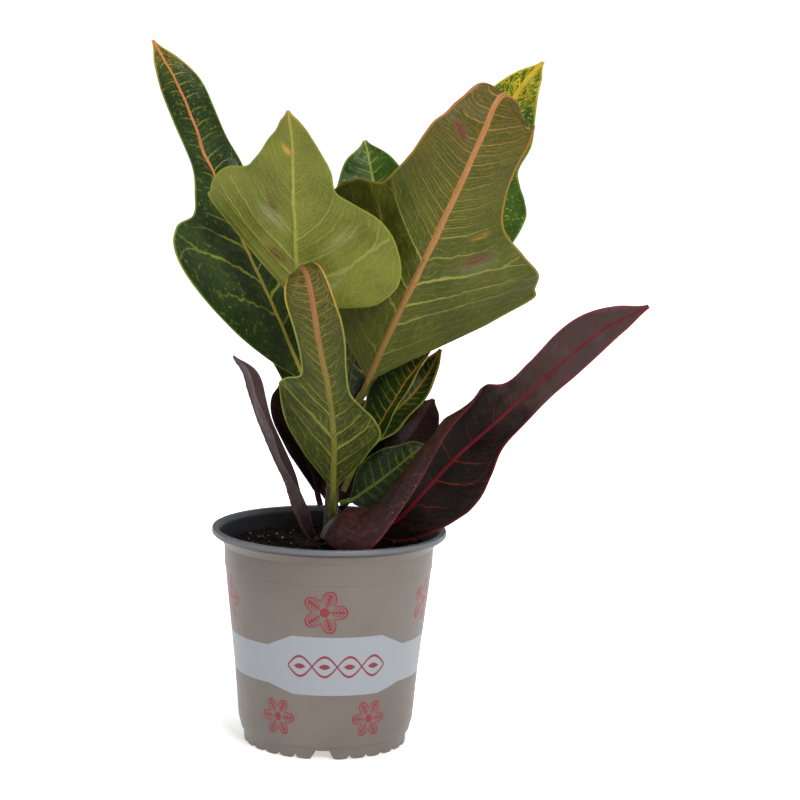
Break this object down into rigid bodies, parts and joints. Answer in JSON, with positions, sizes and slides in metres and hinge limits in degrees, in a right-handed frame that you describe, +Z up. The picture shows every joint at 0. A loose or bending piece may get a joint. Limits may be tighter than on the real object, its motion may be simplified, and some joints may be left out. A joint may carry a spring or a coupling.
{
  "type": "potted croton",
  "caption": "Small potted foliage plant with lobed green, olive and maroon leaves on a short stem, in a round tapered plastic pot.",
  "frame": {"origin": "centre of the pot's underside, on the surface it stands on", "axes": "+Z up along the pot's axis; the pictured front faces -Y, so the camera looks along +Y with +X to its right"},
  "size_m": [0.2568, 0.1468, 0.3558],
  "materials": {
    "pot": "satin",
    "soil": "matte",
    "bark": "matte",
    "leaf_green": "gloss",
    "leaf_olive": "matte",
    "leaf_maroon": "satin",
    "leaf_purple": "satin"
  },
  "bodies": {
    "root": {"pot": "pot", "soil": "soil", "stem": "bark", "leaf_tall_left": "leaf_green", "leaf_front_left": "leaf_olive", "leaf_front_right": "leaf_olive", "leaf_low_front": "leaf_olive", "leaf_back_right": "leaf_green", "leaf_back_centre": "leaf_green", "leaf_inner_right": "leaf_green", "leaf_long_right": "leaf_maroon", "leaf_thin_left": "leaf_maroon", "leaf_dark_left": "leaf_purple", "leaf_mid_right": "leaf_green", "leaf_low_centre": "leaf_green", "leaf_dark_right": "leaf_purple", "leaf_rear_left": "leaf_green", "leaf_rear_right": "leaf_green", "leaf_rear_low": "leaf_maroon"}
  },
  "joints": []
}
